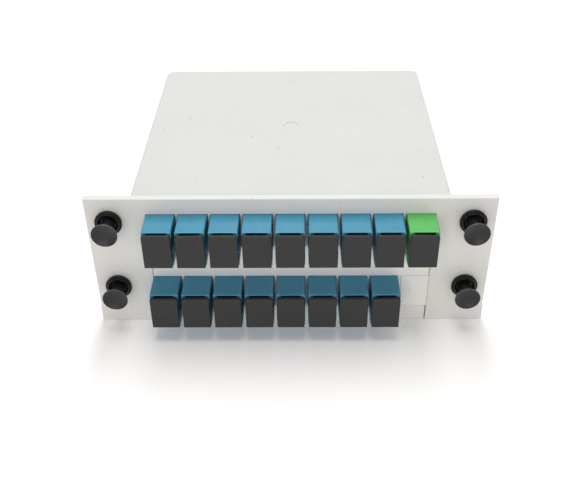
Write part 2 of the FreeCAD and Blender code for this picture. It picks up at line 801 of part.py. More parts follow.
def export_subparts():
    """Write one STEP file for each sub-part."""
    for body in subparts:
        if body.Shape.isNull() or not body.Shape.isValid():
            raise RuntimeError(f"{body.Label} has no valid shape")
    os.makedirs("parts", exist_ok=True)
    for body in subparts:
        body.Shape.exportStep(f"parts/{body.Label}.step")


fill_sheet()
build_cover()
build_tray()
build_holder()
build_ports()
build_blank_plug()
build_latches()
build_module()
build_coil()
doc.recompute()
check_features()
export_subparts()
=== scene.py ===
"""Looks of a plug-in fibre splitter box, laid out as an add-on and built round its CAD frame.

Metres throughout, in the frame of the CAD: +X to the right of the front panel, +Y to the back.
"""

import math

import bmesh
import bpy
from mathutils import Matrix, Vector


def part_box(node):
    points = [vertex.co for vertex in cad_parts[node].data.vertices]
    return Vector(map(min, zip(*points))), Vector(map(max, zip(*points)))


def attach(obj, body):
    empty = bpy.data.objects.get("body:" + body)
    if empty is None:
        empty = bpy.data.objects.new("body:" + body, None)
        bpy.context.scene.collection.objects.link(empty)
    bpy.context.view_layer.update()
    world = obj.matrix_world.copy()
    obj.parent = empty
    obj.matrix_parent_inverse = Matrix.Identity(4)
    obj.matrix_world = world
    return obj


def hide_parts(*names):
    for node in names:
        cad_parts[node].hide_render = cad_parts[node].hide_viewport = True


bl_info = {
    "name": "Fibre splitter box",
    "version": (1, 0, 0),
    "blender": (4, 5, 0),
    "location": "3D View > Sidebar > Splitter box",
    "description": "Finishes and fine shapes of a plug-in fibre splitter box",
    "category": "Object",
}

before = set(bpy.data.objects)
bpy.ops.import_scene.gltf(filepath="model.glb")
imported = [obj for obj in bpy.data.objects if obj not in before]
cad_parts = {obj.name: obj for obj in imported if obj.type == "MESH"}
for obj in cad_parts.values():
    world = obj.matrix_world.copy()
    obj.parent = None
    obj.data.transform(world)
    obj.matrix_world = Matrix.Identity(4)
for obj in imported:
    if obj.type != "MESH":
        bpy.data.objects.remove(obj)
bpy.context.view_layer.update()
MM = 0.001

# What the CAD frame says about the places of the parts.
PANEL_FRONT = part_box("adapter_holder")[0].y
COLUMNS = 8


def port_place(node):
    """Centre of a port or a latch on the panel's front face, from its CAD node."""
    low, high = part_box(node)
    return Vector(((low.x + high.x) / 2, PANEL_FRONT, (low.z + high.z) / 2))


FIRST_PORT = port_place("output_adapter_01")
PORT_PITCH = port_place("output_adapter_02").x - FIRST_PORT.x
ROW_SPACING = FIRST_PORT.z - port_place("output_adapter_09").z
LATCH_PLACE = port_place("latch_grommet_lower_left")
LATCH_SPACING = port_place("latch_grommet_lower_right").x - LATCH_PLACE.x
LATCH_RISE = port_place("latch_grommet_upper_left").z - LATCH_PLACE.z
OUTPUTS = [f"output_adapter_{number:02d}" for number in range(1, 2 * COLUMNS + 1)]
OUTPUT_CAPS = [f"output_dust_cap_{number:02d}" for number in range(1, 2 * COLUMNS + 1)]
CORNERS = ["lower_left", "lower_right", "upper_left", "upper_right"]

# Just behind the panel's wall, and the drop from the panel's top to the cover's roof.
PANEL_BACK = PANEL_FRONT + 2.4 * MM
ROOF_DROP = 1.35 * MM

# Front of an SC housing, from its port's centre.
MOUTH_HALF = 4.6 * MM            # just above the port, where the sides' painted shade ends
RIM_LOW = 5.8 * MM               # the mouth notch's edges lie between these two
RIM_HIGH = 6.0 * MM
RIM_BACK = -9.0 * MM             # and in front of this
RIM_THIN = 6.22 * MM             # and are brought out to here, for a thinner rim
NOTCH_HALF = 3.3 * MM
NOTCH_DEPTH = 1.0 * MM
HOUSING_TOP = 6.25 * MM          # the housing's top and bottom edges lie beyond this
PLAIN_BACK = -8.0 * MM           # the housing has no ridge in front of this

# Top edge of a dust cap's plate, from the plate's front face and its top.
PLATE_BACK = 1.3 * MM
# The lip is a black block in the adapter's notch: it stands for the cap's plug seen there, and as
# painted shade for the notch's shade.
LIP_HALF = 3.1 * MM
LIP_FRONT = 1.35 * MM
LIP_BACK = 2.5 * MM
LIP_LOW = 4.0 * MM               # above the cap's centre
LIP_DROP = 0.9 * MM
SLOT_SIZE = (6.0 * MM, 0.8 * MM, 1.4 * MM)
SLOT_SETBACK = 1.1 * MM
FLASH_SPAN = 5.6 * MM
FLASH_SETBACK = 0.78 * MM
FLASH_DROP = 0.02 * MM

# Lighter and darker copies of a colour, standing in for light and shade: painted light on the
# panel's top edge and holder, painted highlights on the housings' mouth edges and the plungers'
# rims, and painted shade on the housings' sides and notches and on the flanges' outer sides.
PAINTED_LIGHT_ABS = 1.12
PAINTED_EDGE_HIGHLIGHT = 1.35
SHADED_SIDE = 0.25
PAINTED_FLANGE_SHADE = 0.6
PAINTED_RIM_HIGHLIGHT = 9.0

TOUCH = 0.01 * MM                # how near a point counts as on a plane


# ---------------------------------------------------------------- settings a user may change


class ShellSettings(bpy.types.PropertyGroup):
    """The pale moulded parts: cover, tray, holder and blank plug."""

    edge_round: bpy.props.FloatProperty(
        name="Edge rounding", description="Radius on the moulded edges", default=0.00022,
        min=0, max=0.001, precision=5, unit="LENGTH")
    colour: bpy.props.FloatVectorProperty(
        name="Colour", description="Body colour of the ABS", default=(0.680, 0.686, 0.660),
        subtype="COLOR", min=0, max=1)
    speck_colour: bpy.props.FloatVectorProperty(
        name="Speck colour", description="Colour of the specks in the plastic",
        default=(0.30, 0.27, 0.20), subtype="COLOR", min=0, max=1)
    grain: bpy.props.FloatProperty(
        name="Grain", description="Size of the mould's fine texture", default=0.00025,
        min=0.00005, max=0.002, precision=5, unit="LENGTH")


class AdapterSettings(bpy.types.PropertyGroup):
    """The SC adapters in their two rows."""

    edge_round: bpy.props.FloatProperty(
        name="Edge rounding", description="Radius on the housing's outer edges",
        default=0.00024, min=0, max=0.001, precision=5, unit="LENGTH")
    mouth_round: bpy.props.FloatProperty(
        name="Mouth rounding", description="Radius round the housing's mouth",
        default=0.00018, min=0, max=0.001, precision=5, unit="LENGTH")
    output_colour: bpy.props.FloatVectorProperty(
        name="Output colour", description="Housings of the sixteen outputs",
        default=(0.046, 0.262, 0.400), subtype="COLOR", min=0, max=1)
    input_colour: bpy.props.FloatVectorProperty(
        name="Input colour", description="Housing of the input", default=(0.095, 0.465, 0.108),
        subtype="COLOR", min=0, max=1)


class CapSettings(bpy.types.PropertyGroup):
    """The dust caps."""

    edge_round: bpy.props.FloatProperty(
        name="Edge rounding", description="Radius on the plate's edges", default=0.00012,
        min=0, max=0.0006, precision=5, unit="LENGTH")
    flash_count: bpy.props.IntProperty(
        name="Flash nibs", description="Nibs of flash along a cap's notch", default=9,
        min=0, max=40)
    flash_size: bpy.props.FloatProperty(
        name="Flash size", description="Length of the longest nib", default=0.0011,
        min=0, max=0.003, precision=5, unit="LENGTH")
    colour: bpy.props.FloatVectorProperty(
        name="Colour", description="Body colour of the caps", default=(0.0132, 0.0137, 0.0141),
        subtype="COLOR", min=0, max=1)


class LatchSettings(bpy.types.PropertyGroup):
    """The push-pull latches."""

    turns: bpy.props.IntProperty(
        name="Facets round", description="Facets round a turned part", default=72, min=12, max=160)
    dish: bpy.props.FloatProperty(
        name="Dish", description="Depth of the hollow in a head", default=0.00095,
        min=0, max=0.001, precision=5, unit="LENGTH")
    colour: bpy.props.FloatVectorProperty(
        name="Colour", description="Body colour of the nylon", default=(0.0072, 0.0081, 0.0088),
        subtype="COLOR", min=0, max=1)


class StageSettings(bpy.types.PropertyGroup):
    """Floor and lights."""

    floor_size: bpy.props.FloatProperty(
        name="Floor size", description="Side of the square floor", default=6.0, min=1,
        unit="LENGTH")
    floor_glow: bpy.props.FloatProperty(
        name="Floor glow", description="Light that shines through the floor", default=0.055,
        min=0, max=1)
    key_power: bpy.props.FloatProperty(
        name="Overhead light", description="Power of the big light above", default=9.3,
        min=0, unit="POWER")
    fill_power: bpy.props.FloatProperty(
        name="Front light", description="Power of the soft light in front", default=8.4,
        min=0, unit="POWER")
    sky: bpy.props.FloatProperty(
        name="Surround", description="Brightness of the white surround", default=0.41,
        min=0, max=3)


# ---------------------------------------------------------------- nodes


class Wire:
    """One output of a node; arithmetic on it adds Math nodes to its tree."""

    def __init__(self, graph, socket):
        self.graph = graph
        self.socket = socket

    def maths(self, operation, *values):
        """A Math node on the values."""
        return self.graph.add("ShaderNodeMath", {"operation": operation}, dict(enumerate(values)))

    def output(self, name):
        """Another output of the same node, by its name or its number."""
        return Wire(self.graph, self.socket.node.outputs[name])

    def __add__(self, other):
        return self.maths("ADD", self, other)

    __radd__ = __add__

    def __mul__(self, other):
        return self.maths("MULTIPLY", self, other)

    __rmul__ = __mul__

    def __lt__(self, other):
        return self.maths("LESS_THAN", self, other)


class Graph:
    """A node tree under construction."""

    def __init__(self, tree):
        self.tree = tree

    def join(self, value, socket):
        """Link a wire to a socket, or set the socket's value."""
        if isinstance(value, Wire):
            self.tree.links.new(value.socket, socket)
        else:
            socket.default_value = value

    def add(self, kind, settings=None, sockets=None):
        """Any node: its settings first, then the values or links of its sockets."""
        node = self.tree.nodes.new(kind)
        for name, value in (settings or {}).items():
            if name == "stops":
                self.set_stops(node.color_ramp, value)
            else:
                setattr(node, name, value)
        for name, value in (sockets or {}).items():
            self.join(value, node.inputs[name])
        shown = [socket for socket in node.outputs if socket.enabled]
        return Wire(self, shown[0]) if shown else None

    def set_stops(self, ramp, stops):
        """Stops of a colour ramp, each a place and a grey or a colour."""
        while len(ramp.elements) < len(stops):
            ramp.elements.new(0.5)
        for element, (place, shade) in zip(ramp.elements, stops):
            element.position = place
            element.color = (shade, shade, shade, 1) if isinstance(shade, float) else (*shade, 1)


class Finish(Graph):
    """A material under construction, on one Principled shader."""

    # Sockets of a Mix node that mixes colours; those of its other types share their names.
    MIX_FACTOR, MIX_FIRST, MIX_SECOND = 0, 6, 7
    MIX_RESULT = 2

    def __init__(self, name, **constants):
        self.material = bpy.data.materials.new(name)
        self.material.use_nodes = True
        super().__init__(self.material.node_tree)
        self.shader = self.tree.nodes["Principled BSDF"]
        self.place = self.add("ShaderNodeTexCoord").output("Object")
        self.feed(**constants)

    def feed(self, **sockets):
        """Values or links for the shader; an underscore stands for a space."""
        for name, value in sockets.items():
            self.join(value, self.shader.inputs[name.replace("_", " ")])

    def noise(self, size, detail=2.0, roughness=0.5, stretch=(1, 1, 1)):
        """Noise whose blobs are about size across, from 0 to 1 round 0.5."""
        place = self.place
        if stretch != (1, 1, 1):
            place = self.add("ShaderNodeMapping", None, {"Vector": self.place, "Scale": stretch})
        return self.add("ShaderNodeTexNoise", None, {
            "Vector": place, "Scale": 1 / size, "Detail": detail, "Roughness": roughness})

    def ramp(self, value, *stops):
        """The value through a colour ramp."""
        return self.add("ShaderNodeValToRGB", {"stops": stops}, {"Fac": value})

    def mix(self, factor, first, second):
        """Colour between first and second; either may be a plain colour."""
        first, second = (
            colour if isinstance(colour, Wire) else (*colour, 1) for colour in (first, second))
        mixed = self.add("ShaderNodeMix", {"data_type": "RGBA"}, {
            self.MIX_FACTOR: factor, self.MIX_FIRST: first, self.MIX_SECOND: second})
        return mixed.output(self.MIX_RESULT)

    def specks(self, spacing, radius, share):
        """Mask of small round specks of uneven size; only a share of the cells has one."""
        cells = self.add("ShaderNodeTexVoronoi", None, {
            "Vector": self.place, "Scale": 1 / spacing, "Randomness": 1.0})
        chance = self.add("ShaderNodeSeparateColor", None, {"Color": cells.output("Color")})
        full = radius / spacing
        reach = chance.output("Green") * full + full * 0.3
        return (cells.output("Distance") < reach) * (chance.output("Red") < share)

    def relief(self, height, depth, strength=1.0):
        """Bump into the shader's normal; depth is the height of a full step."""
        bump = self.add("ShaderNodeBump", None, {
            "Height": height, "Distance": depth, "Strength": strength})
        self.feed(Normal=bump)


def shade_of(colour, factor):
    """A colour made lighter or darker."""
    return tuple(min(1.0, channel * factor) for channel in colour)


def moulded_abs(name, colour, settings):
    """Pale matt ABS with the mould's fine texture, faint clouds and specks of four kinds."""
    finish = Finish(name, Specular_IOR_Level=0.38)
    clouds = finish.noise(0.018, 3.0, 0.55)
    tone = finish.mix(clouds, shade_of(colour, 0.955), shade_of(colour, 1.035))
    fine = finish.noise(0.0011, 3.0, 0.7)
    tone = finish.mix(fine * 0.16, tone, shade_of(colour, 0.70))
    faint = finish.specks(0.0026, 0.00032, 0.55)
    tone = finish.mix(faint * 0.22, tone, tuple(settings.speck_colour))
    dark = finish.specks(0.0047, 0.00030, 0.30)
    tone = finish.mix(dark * 0.55, tone, tuple(settings.speck_colour))
    peppered = finish.specks(0.0013, 0.00016, 0.30)
    tone = finish.mix(peppered * 0.20, tone, shade_of(colour, 0.45))
    yellow = finish.specks(0.0052, 0.00034, 0.25)
    tone = finish.mix(yellow * 0.35, tone, (0.62, 0.56, 0.30))
    scuffs = finish.ramp(finish.noise(0.004, 4.0, 0.6, (1, 0.15, 1)), (0.62, 0.0), (0.72, 1.0))
    finish.feed(Base_Color=tone, Roughness=finish.noise(0.003) * 0.12 + scuffs * 0.06 + 0.50)
    finish.relief(finish.noise(settings.grain, 1.0) + finish.noise(0.0022) * 0.5, 0.00002, 0.55)
    return finish.material


def moulded_housing(name, colour):
    """Satin coloured housing plastic, a little mottled, with some pale dust."""
    finish = Finish(name, Specular_IOR_Level=0.45)
    streaks = finish.noise(0.0026, 3.0, 0.55, (1, 0.35, 1))
    tone = finish.mix(streaks, shade_of(colour, 0.88), shade_of(colour, 1.10))
    dust = finish.specks(0.0019, 0.00010, 0.16)
    tone = finish.mix(dust * 0.35, tone, (0.55, 0.62, 0.62))
    finish.feed(Base_Color=tone, Roughness=finish.noise(0.0011) * 0.16 + 0.30)
    finish.relief(finish.noise(0.00022, 1.0) + finish.noise(0.0018) * 0.7, 0.000015, 0.5)
    return finish.material


def cap_plastic(settings):
    """Matt black cap plastic with a fine eroded texture and grey dust."""
    finish = Finish("cap_plastic", Specular_IOR_Level=0.42)
    clouds = finish.noise(0.0045, 4.0, 0.6)
    tone = finish.mix(clouds, shade_of(settings.colour, 0.85), shade_of(settings.colour, 1.22))
    fine = finish.noise(0.00028, 2.0, 0.6)
    eroded = finish.ramp(fine, (0.55, 0.0), (0.75, 1.0))
    tone = finish.mix(eroded * 0.22, tone, (0.12, 0.125, 0.125))
    dust = finish.specks(0.0016, 0.00009, 0.12)
    tone = finish.mix(dust * 0.5, tone, (0.22, 0.23, 0.23))
    finish.feed(Base_Color=tone, Roughness=clouds * 0.14 + 0.46)
    finish.relief(fine + finish.noise(0.0012) * 0.6, 0.00003, 0.7)
    return finish.material


def latch_nylon(name, colour, shine=0.40):
    """Black nylon, smoother than the caps, with grey dust and a slight waviness."""
    finish = Finish(name, Specular_IOR_Level=shine)
    clouds = finish.noise(0.003, 3.0, 0.55)
    tone = finish.mix(clouds, shade_of(colour, 0.8), shade_of(colour, 1.5))
    dust = finish.specks(0.0014, 0.00008, 0.10)
    tone = finish.mix(dust * 0.5, tone, (0.16, 0.16, 0.16))
    finish.feed(Base_Color=tone, Roughness=finish.noise(0.0009) * 0.18 + 0.28)
    finish.relief(finish.noise(0.0003, 2.0) + finish.noise(0.002) * 0.8, 0.00002, 0.5)
    return finish.material


def sleeve_ceramic():
    """White zirconia of the alignment sleeve."""
    finish = Finish("sleeve_ceramic", Specular_IOR_Level=0.6)
    tone = finish.mix(finish.noise(0.0012, 2.0), (0.74, 0.74, 0.71), (0.84, 0.84, 0.82))
    finish.feed(Base_Color=tone, Roughness=finish.noise(0.0005) * 0.12 + 0.14)
    finish.relief(finish.noise(0.0004), 0.000004, 0.4)
    return finish.material


def boot_elastomer():
    """Pale grey elastomer of the bend relief behind each connector."""
    finish = Finish("boot_elastomer", Specular_IOR_Level=0.3)
    ribs = finish.noise(0.0008, 2.0, 0.5, (0.1, 1, 0.1))
    tone = finish.mix(ribs, (0.52, 0.53, 0.53), (0.66, 0.67, 0.66))
    finish.feed(Base_Color=tone, Roughness=finish.noise(0.001) * 0.15 + 0.55)
    finish.relief(ribs, 0.00006, 0.8)
    return finish.material


def brushed_case():
    """Brushed stainless case of the splitter module; the lines run along it."""
    finish = Finish("brushed_case", Metallic=1.0)
    lines = finish.noise(0.0005, 4.0, 0.65, (0.02, 1, 1))
    tone = finish.mix(lines, (0.50, 0.51, 0.52), (0.74, 0.75, 0.76))
    smears = finish.noise(0.012, 3.0)
    finish.feed(Base_Color=tone, Roughness=lines * 0.16 + smears * 0.12 + 0.22)
    finish.relief(lines, 0.000012, 0.7)
    return finish.material


def fibre_jacket():
    """Bundle of pale buffered fibres: soft lengthwise strands in slightly different tones."""
    finish = Finish("fibre_jacket", Specular_IOR_Level=0.45)
    strands = finish.noise(0.0009, 2.0, 0.4, (0.04, 1, 1))
    tone = finish.mix(strands, (0.62, 0.60, 0.50), (0.86, 0.85, 0.78))
    finish.feed(Base_Color=tone, Roughness=finish.noise(0.002) * 0.15 + 0.32)
    finish.relief(strands, 0.00018, 0.9)
    return finish.material


# ---------------------------------------------------------------- meshes


def cad_form(node):
    """Copy of a CAD node's mesh, merged, with its flat faces whole again."""
    form = bmesh.new()
    form.from_mesh(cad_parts[node].data)
    bmesh.ops.remove_doubles(form, verts=form.verts, dist=2e-6)
    bmesh.ops.dissolve_limit(
        form, angle_limit=math.radians(0.6), verts=form.verts, edges=form.edges)
    return form


def sharp_edges(form, inside, least=math.radians(28)):
    """Edges that turn more than least and whose two ends pass the test."""
    return [edge for edge in form.edges
            if edge.is_manifold and edge.calc_face_angle() > least
            and all(inside(vert.co) for vert in edge.verts)]


def round_off(form, edges, radius, clamp=True):
    """Round edges off and return the new faces; clamp keeps neighbouring roundings apart."""
    if not edges or radius <= 0:
        return []
    return bmesh.ops.bevel(form, geom=edges, offset=radius, segments=3, profile=0.5,
                           affect="EDGES", clamp_overlap=clamp, loop_slide=True)["faces"]


def piece_from(form, name, *materials):
    """An object from a bmesh, smooth where its faces meet gently."""
    mesh = bpy.data.meshes.new(name)
    form.to_mesh(mesh)
    form.free()
    for polygon in mesh.polygons:
        polygon.use_smooth = True
    mesh.set_sharp_from_angle(angle=math.radians(34))
    piece = bpy.data.objects.new(name, mesh)
    bpy.context.scene.collection.objects.link(piece)
    for material in materials:
        mesh.materials.append(material)
    return piece


def settle(piece):
    """Turn a piece with live modifiers into the plain mesh they make."""
    bpy.context.view_layer.update()
    graph = bpy.context.evaluated_depsgraph_get()
    mesh = bpy.data.meshes.new_from_object(
        piece.evaluated_get(graph), preserve_all_data_layers=True, depsgraph=graph)
    mesh.name = piece.name
    piece.modifiers.clear()
    piece.data = mesh


def even_normals(piece):
    """Let the big faces set the normals beside a rounded edge."""
    modifier = piece.modifiers.new("even_normals", "WEIGHTED_NORMAL")
    modifier.keep_sharp = True
    modifier.weight = 60


# ---------------------------------------------------------------- geometry nodes


class Maker(Graph):
    """A geometry tree under construction, with named inputs."""

    def __init__(self, name):
        super().__init__(bpy.data.node_groups.new(name, "GeometryNodeTree"))
        for direction in ("INPUT", "OUTPUT"):
            self.tree.interface.new_socket(
                "Geometry", in_out=direction, socket_type="NodeSocketGeometry")
        self.start = self.tree.nodes.new("NodeGroupInput")
        self.end = self.tree.nodes.new("NodeGroupOutput")

    def input(self, name, kind, default=None):
        """A named input of the tree, as a wire."""
        item = self.tree.interface.new_socket(
            name, in_out="INPUT", socket_type="NodeSocket" + kind)
        if default is not None:
            item.default_value = default
        return Wire(self, self.start.outputs[name])

    def geometry(self):
        """The shape that the tree is put on."""
        return Wire(self, self.start.outputs["Geometry"])

    def finish(self, wire):
        """End the tree with this geometry."""
        self.join(wire, self.end.inputs["Geometry"])
        return self.tree


def use_maker(piece, tree, **values):
    """Put a tree on a piece; each input is set by its socket's identifier."""
    modifier = piece.modifiers.new(tree.name, "NODES")
    modifier.node_group = tree
    for item in tree.interface.items_tree:
        if item.item_type == "SOCKET" and item.in_out == "INPUT":
            key = item.name.lower().replace(" ", "_")
            if key in values:
                modifier[item.identifier] = values.pop(key)
    if values:
        raise RuntimeError(f"{tree.name} has no input for {sorted(values)}")


def vector_wire(maker, x=0.0, y=0.0, z=0.0):
    """Vector from three numbers or wires."""
    return maker.add("ShaderNodeCombineXYZ", None, {"X": x, "Y": y, "Z": z})


def rows_maker():
    """Tree that sets its own shape out in rows; marked faces have materials of their own, among
    them painted highlight and painted shade.
    """
    maker = Maker("set_out_in_rows")
    columns = maker.input("Columns", "Int", 1)
    pitch = maker.input("Pitch", "Float", 0.01)
    rows = maker.input("Rows", "Int", 1)
    spacing = maker.input("Row spacing", "Float", 0.02)
    first = maker.input("First place", "Vector")
    body = maker.input("Body material", "Material")
    tail = maker.input("Tail material", "Material")
    core = maker.input("Core material", "Material")
    worn = maker.input("Worn material", "Material")
    side = maker.input("Side material", "Material")
    column_points = maker.add("GeometryNodeMeshLine", {"mode": "OFFSET"}, {
        "Count": columns, "Start Location": first, "Offset": vector_wire(maker, x=pitch)})
    row_points = maker.add("GeometryNodeMeshLine", {"mode": "OFFSET"}, {
        "Count": rows, "Offset": vector_wire(maker, z=spacing)})
    grid = maker.add("GeometryNodeInstanceOnPoints", None, {
        "Points": row_points, "Instance": column_points})
    grid = maker.add("GeometryNodeRealizeInstances", None, {"Geometry": grid})
    shapes = maker.add("GeometryNodeInstanceOnPoints", None, {
        "Points": grid, "Instance": maker.geometry()})
    solid = maker.add("GeometryNodeRealizeInstances", None, {"Geometry": shapes})
    solid = maker.add("GeometryNodeSetMaterial", None, {"Geometry": solid, "Material": body})
    for mark, material in (("side", side), ("tail", tail), ("core", core), ("worn", worn)):
        marked = maker.add(
            "GeometryNodeInputNamedAttribute", {"data_type": "BOOLEAN"}, {"Name": mark})
        solid = maker.add("GeometryNodeSetMaterial", None, {
            "Geometry": solid, "Selection": marked, "Material": material})
    return maker.finish(solid)


def random_float(maker, least, most, seed):
    """A random number for each point."""
    low_socket, high_socket, float_result = 2, 3, 1
    chance = maker.add("FunctionNodeRandomValue", {"data_type": "FLOAT"}, {
        low_socket: least, high_socket: most, "Seed": seed})
    return chance.output(float_result)


def flash_maker():
    """Tree that notches a cap's top edge and adds uneven nibs of moulding flash along it."""
    maker = Maker("flash_on_cap")
    count = maker.input("Count", "Int", 7)
    size = maker.input("Nib length", "Float", 0.001)
    length = maker.input("Edge length", "Float", 0.007)
    middle = maker.input("Edge middle", "Vector")
    seed = maker.input("Seed", "Int", 1)
    slot_size = maker.input("Slot size", "Vector")
    slot_middle = maker.input("Slot middle", "Vector")
    material = maker.input("Material", "Material")
    cutter = maker.add("GeometryNodeMeshCube", None, {"Size": slot_size})
    cutter = maker.add("GeometryNodeTransform", None, {
        "Geometry": cutter, "Translation": slot_middle})
    notched = maker.add("GeometryNodeMeshBoolean", {"operation": "DIFFERENCE", "solver": "FLOAT"}, {
        "Mesh 1": maker.geometry(), "Mesh 2": cutter})
    line = maker.add("GeometryNodeMeshLine", {"mode": "OFFSET"}, {
        "Count": count, "Start Location": middle, "Offset": vector_wire(maker)})
    across = random_float(maker, length * -0.5, length * 0.5, seed)
    scattered = maker.add("GeometryNodeSetPosition", None, {
        "Geometry": line, "Offset": vector_wire(maker, x=across)})
    nib = maker.add("GeometryNodeMeshIcoSphere", None, {"Radius": 0.5, "Subdivisions": 2})
    wide = random_float(maker, size * 0.25, size, seed + 11)
    nibs = maker.add("GeometryNodeInstanceOnPoints", None, {
        "Points": scattered, "Instance": nib,
        "Scale": vector_wire(maker, wide, size * 0.3, wide * 0.4)})
    both = maker.add("GeometryNodeJoinGeometry")
    for part in (nibs, notched):
        maker.join(part, both.socket.node.inputs["Geometry"])
    solid = maker.add("GeometryNodeRealizeInstances", None, {"Geometry": both})
    solid = maker.add("GeometryNodeSetMaterial", None, {"Geometry": solid, "Material": material})
    return maker.finish(solid)


# ---------------------------------------------------------------- operators


def shell_form(node, edge_round):
    """One moulding with its front edges rounded and, on the cover, its rim and roof edges."""
    form = cad_form(node)
    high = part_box(node)[1]

    def on_front(point):
        return abs(point.y - PANEL_FRONT) < TOUCH

    def on_rim(point):
        at_side = abs(abs(point.x) - high.x) < 0.4 * MM
        return point.y < PANEL_BACK and (at_side or abs(point.z - high.z) < TOUCH)

    def on_roof(point):
        return point.y > PANEL_BACK and abs(point.z - (high.z - ROOF_DROP)) < 1.2 * MM

    round_off(form, sharp_edges(form, on_front), edge_round, clamp=False)
    if node == "top_cover":
        round_off(form, sharp_edges(form, on_rim), edge_round)
        round_off(form, sharp_edges(form, on_roof), edge_round)
        # Faces along the panel's top edge get the paler copy: a painted highlight.
        for face in form.faces:
            middle = face.calc_center_median()
            face.material_index = int(middle.y < PANEL_BACK and middle.z > high.z - 0.2 * MM)
    return form


class SPLITTER_OT_shell(bpy.types.Operator):
    """Round the moulded edges of the cover, tray, holder and blank plug and give them their ABS,
    with a paler copy as painted light on some
    """

    bl_idname = "splitter.shell"
    bl_label = "Make the shell"

    def execute(self, context):
        settings = context.scene.splitter_shell
        finish = moulded_abs("moulded_abs", settings.colour, settings)
        # A paler copy of the ABS as painted light: on the panel's top edge, and on the holder and
        # blank plug, whose faces between the rows lie in shade.
        pale = moulded_abs("moulded_abs_pale", shade_of(settings.colour, PAINTED_LIGHT_ABS), settings)
        finishes = {
            "top_cover": (finish, pale),
            "base_tray": (finish,),
            "adapter_holder": (pale,),
            "blank_plug": (pale,),
        }
        for node, materials in finishes.items():
            form = shell_form(node, settings.edge_round)
            piece = piece_from(form, node + "_moulding", *materials)
            even_normals(piece)
            settle(piece)
            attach(piece, "box")
            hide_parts(node)
        return {"FINISHED"}


def mark_faces(form, name, test):
    """Boolean face attribute, true where the test passes on a face's middle."""
    layer = form.faces.layers.bool.new(name)
    for face in form.faces:
        face[layer] = bool(test(face.calc_center_median()))


def adapter_form(node, settings):
    """One adapter at the origin of its port, with rounded outer edges and marked faces."""
    form = cad_form(node)
    bmesh.ops.translate(form, verts=form.verts, vec=-port_place(node))
    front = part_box(node)[0].y - PANEL_FRONT
    half = max(abs(vert.co.x) for vert in form.verts if vert.co.y < PLAIN_BACK)
    for height in (-MOUTH_HALF, MOUTH_HALF):
        bmesh.ops.bisect_plane(form, geom=form.verts[:] + form.edges[:] + form.faces[:],
                               plane_co=(0, 0, height), plane_no=(0, 0, 1))
    for vert in form.verts:
        if vert.co.y < RIM_BACK and RIM_LOW < abs(vert.co.z) < RIM_HIGH:
            vert.co.z = math.copysign(RIM_THIN, vert.co.z)

    def outer(point):
        return point.y < 0 and (abs(point.x) > half - 0.5 * MM or abs(point.z) > HOUSING_TOP)

    def on_mouth(point):
        return point.y < front + TOUCH and outer(point)

    def in_shade(middle):
        """Faces given painted shade: the mouth notch, and the housing's sides with the front's
        upright edges.
        """
        if abs(middle.z) > MOUTH_HALF:
            in_notch = front + 0.05 * MM < middle.y < front + NOTCH_DEPTH
            return in_notch and abs(middle.x) < NOTCH_HALF
        beside_port = 3.8 * MM
        reach = beside_port if middle.y < front + 0.25 * MM else half - 0.3 * MM
        return middle.y < 0 and abs(middle.x) > reach

    def on_boot(middle):
        return middle.y > 17.0 * MM

    def on_sleeve(middle):
        return -5 * MM < middle.y < 3 * MM and math.hypot(middle.x, middle.z) < 1.4 * MM

    # Roundings of the mouth's top and bottom edges get a paler copy of the housing colour: a
    # painted highlight.
    worn = form.faces.layers.bool.new("worn")
    for face in round_off(form, sharp_edges(form, on_mouth), settings.mouth_round, clamp=False):
        face[worn] = abs(face.calc_center_median().z) > 6.1 * MM
    round_off(form, sharp_edges(form, outer), settings.edge_round)
    mark_faces(form, "side", in_shade)
    mark_faces(form, "tail", on_boot)
    mark_faces(form, "core", on_sleeve)
    return form


class SPLITTER_OT_adapters(bpy.types.Operator):
    """Set the two rows of output adapters and the input adapter out"""

    bl_idname = "splitter.adapters"
    bl_label = "Make the adapters"

    def execute(self, context):
        settings = context.scene.splitter_adapters
        rows = rows_maker()
        boot, sleeve = boot_elastomer(), sleeve_ceramic()
        groups = (
            ("output_adapters", OUTPUTS, "output_housing", settings.output_colour,
             "adapter_blue", COLUMNS, 2),
            ("input_adapter_piece", ["input_adapter"], "input_housing", settings.input_colour,
             "adapter_green", 1, 1),
        )
        for name, nodes, housing, colour, slot, columns, row_count in groups:
            piece = piece_from(adapter_form(nodes[0], settings), name)
            use_maker(
                piece, rows, columns=columns, pitch=PORT_PITCH, rows=row_count,
                row_spacing=-ROW_SPACING, first_place=port_place(nodes[0]),
                body_material=moulded_housing(housing, colour),
                tail_material=boot, core_material=sleeve,
                # painted highlight on the mouth's edges, painted shade on the sides and in the
                # notch
                worn_material=moulded_housing(housing + "_edge", shade_of(colour, PAINTED_EDGE_HIGHLIGHT)),
                side_material=moulded_housing(housing + "_side", shade_of(colour, SHADED_SIDE)))
            even_normals(piece)
            settle(piece)
            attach(piece, "box")
            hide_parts(*nodes)
        return {"FINISHED"}


def cap_form(node, edge_round):
    """A dust cap with a rounded plate and a black lip behind its top edge, which fills the
    adapter's notch as the cap's plug and as painted shade.
    """
    form = cad_form(node)
    low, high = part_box(node)
    centre = (low + high) / 2

    def on_plate(point):
        return point.y < low.y + PLATE_BACK

    square_low_corners(form, low, high)
    round_off(form, sharp_edges(form, on_plate), edge_round)
    add_block(form, (centre.x - LIP_HALF, low.y + LIP_FRONT, centre.z + LIP_LOW),
              (centre.x + LIP_HALF, low.y + LIP_BACK, high.z - LIP_DROP))
    return form


